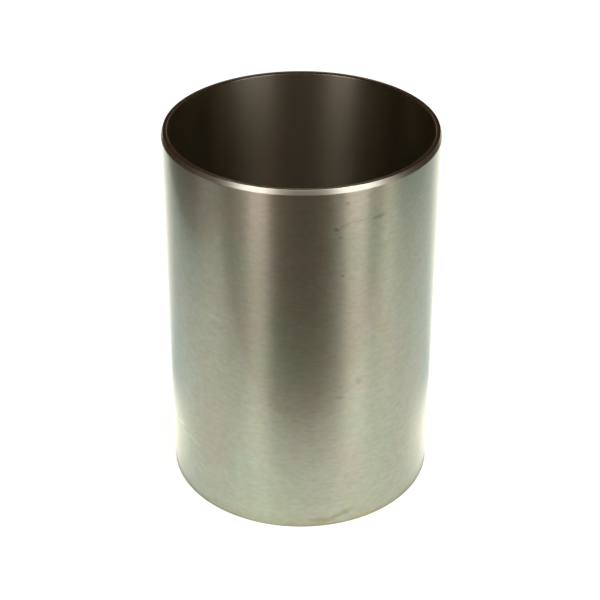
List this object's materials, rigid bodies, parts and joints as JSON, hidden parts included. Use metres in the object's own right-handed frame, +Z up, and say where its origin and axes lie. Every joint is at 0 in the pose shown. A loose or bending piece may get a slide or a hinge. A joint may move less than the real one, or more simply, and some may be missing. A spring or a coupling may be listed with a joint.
{
  "type": "cylinder liner",
  "caption": "Thin-walled dry cylinder liner, open at both ends, with a ground outer wall, a honed bore and a lead-in taper at the top.",
  "frame": {"origin": "centre of the foot face, on the bore axis, where the liner stands", "axes": "+Z up the bore axis, from the plain foot to the end with the lead-in taper; X and Y are free, because the part is turned"},
  "size_m": [0.098, 0.098, 0.1393],
  "materials": {
    "ground_cast_iron": "satin"
  },
  "bodies": {
    "root": {"liner": "ground_cast_iron"}
  },
  "joints": []
}
